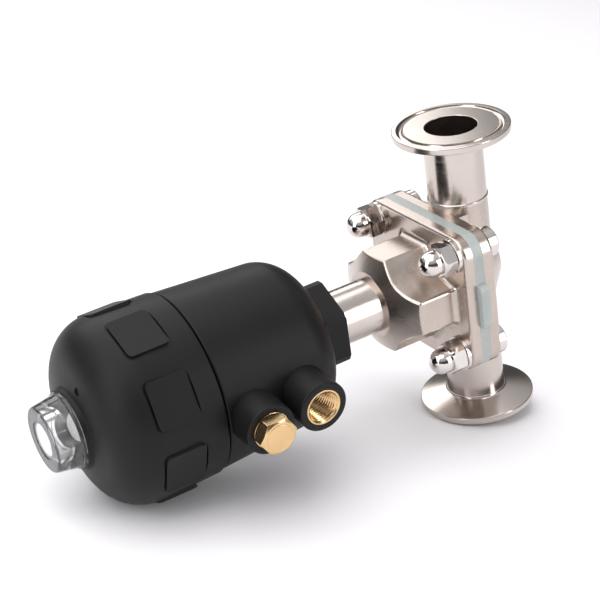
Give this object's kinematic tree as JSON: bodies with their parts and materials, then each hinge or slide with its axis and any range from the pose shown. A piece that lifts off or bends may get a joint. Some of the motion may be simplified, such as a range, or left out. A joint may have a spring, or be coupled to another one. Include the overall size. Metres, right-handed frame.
{
  "type": "pneumatic diaphragm valve",
  "caption": "Sanitary weir diaphragm valve with clamp ferrule ends, closed by springs in a plastic piston actuator and opened by air through a threaded port.",
  "frame": {"origin": "centre of the lower clamp ferrule's sealing face", "axes": "+Z along the pipe towards the upper ferrule; the stem lies along X with the actuator towards -X; the air ports face -Y"},
  "size_m": [0.2292, 0.0977, 0.132],
  "materials": {
    "cast_steel": "satin, blasted and electropolished casting",
    "polished_steel": "fine ground and polished",
    "bright_steel": "mirror polished",
    "stem_steel": "turned",
    "spring_steel": "drawn wire",
    "black_plastic": "fine moulded texture",
    "piston_plastic": "moulded",
    "brass": "turned and lightly polished",
    "clear_plastic": "clear moulded polycarbonate",
    "white_plastic": "smooth",
    "diaphragm_white": "smooth, slightly translucent",
    "rubber_black": "smooth moulded"
  },
  "bodies": {
    "valve": {"valve_body": "cast_steel", "lower_ferrule": "polished_steel", "upper_ferrule": "polished_steel", "lower_ferrule_tube": "polished_steel", "upper_ferrule_tube": "polished_steel", "diaphragm": "diaphragm_white", "diaphragm_backing": "rubber_black", "bonnet": "cast_steel", "neck_tube": "polished_steel", "lower_stem_guide": "white_plastic", "stem_seal": "rubber_black", "upper_stem_guide": "white_plastic", "neck_nut": "stem_steel", "cap_screw_1": "bright_steel", "nut_washer_1": "bright_steel", "acorn_nut_1": "bright_steel", "cap_screw_2": "bright_steel", "nut_washer_2": "bright_steel", "acorn_nut_2": "bright_steel", "cap_screw_3": "bright_steel", "nut_washer_3": "bright_steel", "acorn_nut_3": "bright_steel", "cap_screw_4": "bright_steel", "nut_washer_4": "bright_steel", "acorn_nut_4": "bright_steel"},
    "actuator": {"actuator_housing": "black_plastic", "actuator_cover": "black_plastic", "port_insert_1": "brass", "port_insert_2": "brass", "port_plug": "brass", "plug_washer": "white_plastic", "indicator_cap": "clear_plastic", "spring_seat": "stem_steel", "outer_spring": "spring_steel", "inner_spring": "spring_steel", "cover_oring": "rubber_black", "neck_oring": "rubber_black"},
    "stem": {"stem": "stem_steel", "piston": "piston_plastic", "piston_seal": "rubber_black", "piston_guide_ring": "white_plastic", "piston_washer": "stem_steel", "piston_nut": "stem_steel", "indicator_pin": "stem_steel", "indicator_disc": "white_plastic", "compressor": "stem_steel", "compressor_pin": "stem_steel", "diaphragm_stud": "stem_steel"}
  },
  "joints": [
    {"name": "actuator_swivel", "type": "hinge", "parent": "valve", "child": "actuator", "pos_m": [-0.08, 0, 0.066], "axis": [-1, 0, 0], "continuous": true},
    {"name": "stem_slide", "type": "slide", "parent": "valve", "child": "stem", "axis": [-1, 0, 0], "range_m": [0, 0.012], "stiffness_N_per_m": 300, "springref_m": -0.015, "deforming": ["outer_spring", "inner_spring", "diaphragm", "diaphragm_backing"]}
  ]
}
